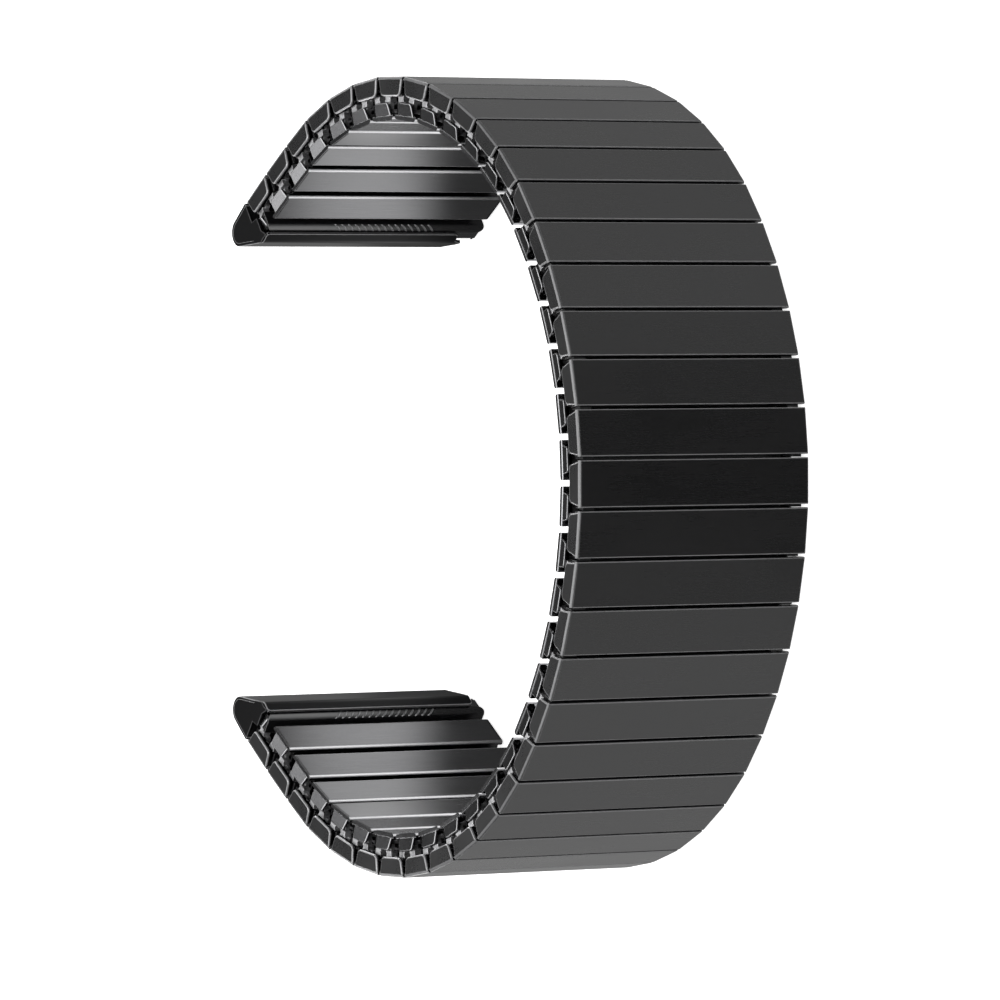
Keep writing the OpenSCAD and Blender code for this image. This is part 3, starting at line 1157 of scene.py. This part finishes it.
# %% Web and last bows
WEB_START = 3.3
WEB_ROUND = 0.05
WEB_OUTER, OUTER_HEAD, OUTER_FOOT = -0.75, -0.42, -3.4
WEB_INNER, INNER_HEAD, INNER_FOOT = -0.25, -0.38, -3.7


def web_form():
    """Inner web that closes the fold behind the front wall."""
    outline = [Vector((WEB_OUTER, OUTER_HEAD)), Vector((WEB_INNER, INNER_HEAD)),
               Vector((WEB_INNER, INNER_FOOT)), Vector((WEB_OUTER, OUTER_FOOT))]
    return round_edges(prism(outline, WEB_START, BAND_W - SHEET), sharp, WEB_ROUND, 2)


def end_bows():
    mesh = turned_over(at_both_edges(bow_edge), 0)
    for v in mesh.verts:
        v.co.x += PITCH / 2
    return mesh


print(f"web: {BAND_W - SHEET - WEB_START:.1f} mm long")

# %% [markdown]
# The two end pieces mirror each other. Every form is built for the first one and turned over for
# the second before it is seated, so the seating tree only ever turns and moves, and no face ends up
# inside out.

# %% Both end pieces
TONGUE_START = -0.28
END_PARTS = (("end_near_cap", near_cap, CAP_COAT, "end_shell"),
             ("end_roll", roll_form, COVER_COAT, "end_tongue"),
             ("end_ribs", rib_form, COVER_COAT, "end_tongue"), ("end_web", web_form, END_COAT, "end_tongue"),
             ("end_sleeve", lambda: sleeve_form(TONGUE_START), SLEEVE_COAT, "end_tongue"),
             ("end_bows", end_bows, BOW_STEEL, "end_tongue"))

for letter, seat, heading in (("a", SEAM[0], HEADING[1]), ("b", SEAM[LINKS], HEADING[LINKS])):
    cut = FAR_CUT[letter]
    cut_parts = (("end_fold", lambda: fold_form(cut), END_COAT, "end_shell"),
                 ("end_far_cap", lambda: far_cap(cut), CAP_COAT, "end_shell"))
    for name, form, finish, node in (*cut_parts, *END_PARTS):
        mesh = form() if letter == "a" else turned_over(form(), 0)
        data = finished(mesh, f"{name}_{letter}_form")
        if name == "end_ribs":
            data = through(RIB_ROW, data, {"Count": RIB_COUNT, "Pitch": RIB_PITCH * MM,
                                           "Start": RIB_START * MM, "Finish": finish})
        piece(f"{name}_{letter}", [seated(data, seat, heading, finish)], f"end_{letter}",
              f"{node}_{letter}")

# %% [markdown]
# ## Stage
# The band lies on a pale floor that is white to the camera and takes the band's shadow. Black satin
# steel is drawn by what it mirrors, so reflections get a stage of their own through Light Path.
# Outside the loop they pass through the floor to the studio. Inside it they meet a painted reflection:
# the floor glows to glossy rays only, with two soft patches of painted light, one in the open back,
# which gives the wrist faces their shine, and one in front, which only their rounded long edges can
# mirror, and dim painted shade between them. First come the helpers that draw soft borders by formula.

# %% Soft borders on the floor
LOOP_HALF_X, LOOP_FRONT, LOOP_BACK = 0.032, 0.0265, 0.050
LOOP_EDGE = 0.9


def smooth(t, value, start, end, low, high):
    return t.node("ShaderNodeMapRange", {"interpolation_type": "SMOOTHSTEP"},
                  {"Value": value, "From Min": start, "From Max": end, "To Min": low, "To Max": high})


def length_of(t, x, y):
    flat = t.node("ShaderNodeCombineXYZ", None, {0: x, 1: y})
    return t.node("ShaderNodeVectorMath", {"operation": "LENGTH"}, {0: flat}, 1)


def inside_loop(t, x, y):
    """1 on the floor between the walls of the loop and in its open back, 0 elsewhere."""
    front = t.math("MINIMUM", y, 0.0) * (1 / LOOP_FRONT)
    back = t.math("MAXIMUM", y, 0.0) * (1 / LOOP_BACK)
    return smooth(t, length_of(t, x * (1 / LOOP_HALF_X), front + back), LOOP_EDGE, 1.0, 1.0, 0.0)


print(f"the loop on the floor: {2 * LOOP_HALF_X / MM:.0f} mm by {(LOOP_FRONT + LOOP_BACK) / MM:.1f} mm")

# %% [markdown]
# The floor's finish mixes a Principled shader, which also glows, with a Transparent one. Light Path
# tells rays from the camera and from glossy steel apart, so each kind meets another floor without a
# second object: the camera sees an even white, and glossy rays see a painted reflection, patches of
# painted light with dim painted shade between them.

# %% Floor
FLOOR_REACH = 3.0
POOL_AT = (0.0, 0.028)
# Levels of the painted reflection: a pool of painted light at the open back, painted light in front, and dim
# painted shade elsewhere inside the loop.
POOL_INNER, POOL_OUTER = 0.006, 0.0165
POOL_LIGHT, POOL_DARK = 1.55, 0.13
FRONT_LIGHT = 2.6
FRONT_START, FRONT_END = 0.010, 0.016
FRONT_SPREAD = 0.5
PALE, NONE = (0.8, 0.8, 0.8, 1), (0.0, 0.0, 0.0, 1)
FLOOR_WHITE = 0.85
CAMERA_RAY, GLOSSY_RAY = 0, 3


def floor_finish():
    material, t, shader = new_finish("pale_floor")
    nodes = material.node_tree.nodes
    camera_ray = t.node("ShaderNodeLightPath", output=CAMERA_RAY)
    glossy_ray = t.node("ShaderNodeLightPath", output=GLOSSY_RAY)
    coords = t.node("ShaderNodeTexCoord", output=OBJECT_COORDS)
    x, y = (t.node("ShaderNodeSeparateXYZ", None, {0: coords}, axis) for axis in (0, 1))
    inside = inside_loop(t, x, y)
    # Painted light and shade, seen only by glossy rays: the floor's glow stands in for what the steel
    # mirrors.
    from_pool = length_of(t, x - POOL_AT[0], y - POOL_AT[1])
    corner = y + t.math("ABSOLUTE", x, 0.0) * FRONT_SPREAD
    front = smooth(t, corner, FRONT_START, FRONT_END, FRONT_LIGHT, 0.0)
    painted_pool = smooth(t, from_pool, POOL_INNER, POOL_OUTER, POOL_LIGHT, POOL_DARK) + front
    t.put(shader["Base Color"], mixed(t, glossy_ray, PALE, NONE))
    t.put(shader["Emission Color"], (1, 1, 1, 1))
    t.put(shader["Emission Strength"], camera_ray * FLOOR_WHITE + glossy_ray * painted_pool)
    shader["Roughness"].default_value = 0.9
    shader["Specular IOR Level"].default_value = 0.0
    clear = t.node("ShaderNodeBsdfTransparent")
    solid = Sock(t, nodes["Principled BSDF"].outputs[0])
    surface = t.node("ShaderNodeMixShader", None, {0: glossy_ray * (1 - inside), 1: solid, 2: clear})
    t.put(nodes["Material Output"].inputs["Surface"], surface)
    return material


floor_mesh = bpy.data.meshes.new("floor")
r = FLOOR_REACH
floor_mesh.from_pydata([(-r, -r, 0), (r, -r, 0), (r, r, 0), (-r, r, 0)], [], [(0, 1, 2, 3)])
floor = bpy.data.objects.new("floor", floor_mesh)
floor.data.materials.append(floor_finish())
bpy.context.scene.collection.objects.link(floor)
print("floor reach in metres:", FLOOR_REACH)

# %% [markdown]
# ## Studio
# The studio round the band is bright at both sides and behind, and dark only in front, where a
# camera would stand. A world can hold that as a simple function of direction: how far a ray points to
# the back, from -1 to 1, picks a brightness from a ramp. It is there for reflections below the horizon
# only. The ceiling stays dark, and the camera sees the world as nearly white.

# %% World
SIDE_STOPS = ((0.0, 0.07), (0.0125, 0.10), (0.05, 0.22), (0.11, 0.55), (0.2, 0.75), (0.5, 0.62), (0.85, 0.5),
              (1.0, 0.4))
STUDIO_LIGHT = 1.15
SIDE_TILT = 0.12
HORIZON = 0.1
CEILING = 0.06
AMBIENT = 0.17
WORLD_WHITE = 0.95


def studio():
    world = bpy.data.worlds.new("studio")
    bpy.context.scene.world = world
    world.use_nodes = True
    t = Tree(world.node_tree)
    direction = t.node("ShaderNodeTexCoord")
    height = t.node("ShaderNodeSeparateXYZ", None, {"Vector": direction}, 2)
    flat = t.node("ShaderNodeVectorMath", {"operation": "MULTIPLY"}, {0: direction, 1: (1.0, 1.0, 0.0)})
    heading = t.node("ShaderNodeVectorMath", {"operation": "NORMALIZE"}, {0: flat})
    to_side, to_back = (t.node("ShaderNodeSeparateXYZ", None, {"Vector": heading}, axis) for axis in (0, 1))
    stops = [(place, (light, light, light)) for place, light in SIDE_STOPS]
    sides = t.node("ShaderNodeValToRGB", {"stops": stops}, {0: to_back * 0.5 + 0.5})
    below = smooth(t, height, -HORIZON, 0.0, 1.0, 0.0)
    level = (1 - to_side * SIDE_TILT) * STUDIO_LIGHT
    mirrored = below * sides * level + (1 - below) * CEILING
    camera_ray = t.node("ShaderNodeLightPath", output=CAMERA_RAY)
    glossy_ray = t.node("ShaderNodeLightPath", output=GLOSSY_RAY)
    strength = camera_ray * WORLD_WHITE + glossy_ray * mirrored + (1 - camera_ray - glossy_ray) * AMBIENT
    background = world.node_tree.nodes["Background"].inputs
    t.put(background["Color"], (1, 1, 1, 1))
    t.put(background["Strength"], strength)
    print("world nodes:", len(world.node_tree.nodes))


studio()

# %% [markdown]
# ## Light
# One wide softbox hangs over the band, so folded edges and sloped bands show it, while the upright
# flaps, which mirror a lower part of the studio, stay dark. A small one high in front lights the
# closed side. Two small ones stand high behind, one to each side, because a single lamp in the middle
# would be mirrored by the flaps. Two low lamps behind draw the edges of the loop's ends.

# %% Lamps
def softbox(name, direction, distance, width, depth, watts):
    light = bpy.data.lights.new(name, "AREA")
    light.shape = "RECTANGLE"
    light.size = width
    light.size_y = depth
    light.energy = watts
    lamp = bpy.data.objects.new(name, light)
    bpy.context.scene.collection.objects.link(lamp)
    way = Vector(direction).normalized()
    lamp.location = Vector((0, 0, BAND_W / 2 * MM)) + way * distance
    lamp.rotation_euler = way.to_track_quat("Z", "Y").to_euler()
    print(f"{name}: {watts} W")


softbox("overhead", (0, 0, 1), distance=0.5, width=0.45, depth=0.7, watts=2.6)
softbox("front_high", (0, -0.6, 0.8), distance=0.6, width=0.3, depth=0.2, watts=1.5)
for hand, side in (("left", -1), ("right", 1)):
    softbox(f"back_high_{hand}", (0.199 * side, 0.672, 0.713), distance=0.7, width=0.1, depth=0.185,
            watts=0.33)
    softbox(f"back_low_{hand}", (0.6 * side, 0.8, 0.08), distance=0.6, width=0.35, depth=0.16, watts=1.5)

# %% [markdown]
# ## Camera
# The photograph was taken from well away with a long lens, the band lying on its side, and the
# picture turned so that the bars run across it. The angles were found by matching the seams and
# corners of the links, and the lens shift only sets the band where the photograph has it.

# %% Camera at the photograph's view
ELEVATION = 32.1438
DISTANCE = 650.0
FOCAL_PX = 7872.0
ROLL = 0.8416
TURN = -1.4992
CENTRE_PX = (546.576, 471.3239)
FRAME_PX = 1000.0
SENSOR = 36.0
TARGET = Vector((0.4688, 22.4599))


def add_camera():
    el = math.radians(ELEVATION)
    turned = Matrix.Rotation(math.radians(-TURN), 3, "Z")
    look = turned @ Vector((0, math.cos(el), -math.sin(el)))
    right = turned @ Vector((1, 0, 0))
    up = right.cross(look)
    target = Vector((TARGET.x, TARGET.y + CAD_BOX[0][1] / MM, BAND_W / 2))
    spot = (target - DISTANCE * look) * MM
    c, s = math.cos(math.radians(ROLL)), math.sin(math.radians(ROLL))
    side = -(s * right + c * up)
    top = c * right - s * up
    data = bpy.data.cameras.new("camera")
    data.sensor_width = SENSOR
    data.lens = FOCAL_PX / FRAME_PX * SENSOR
    data.shift_x = (FRAME_PX / 2 - CENTRE_PX[0]) / FRAME_PX
    data.shift_y = (CENTRE_PX[1] - FRAME_PX / 2) / FRAME_PX
    data.clip_start = 0.01
    camera = bpy.data.objects.new("camera", data)
    bpy.context.scene.collection.objects.link(camera)
    camera.matrix_world = Matrix.Translation(spot) @ Matrix((side, top, -look)).transposed().to_4x4()
    bpy.context.scene.camera = camera
    print(f"lens {data.lens:.1f} mm, {DISTANCE:.0f} mm away")


add_camera()
bpy.context.scene.view_settings.view_transform = "Standard"
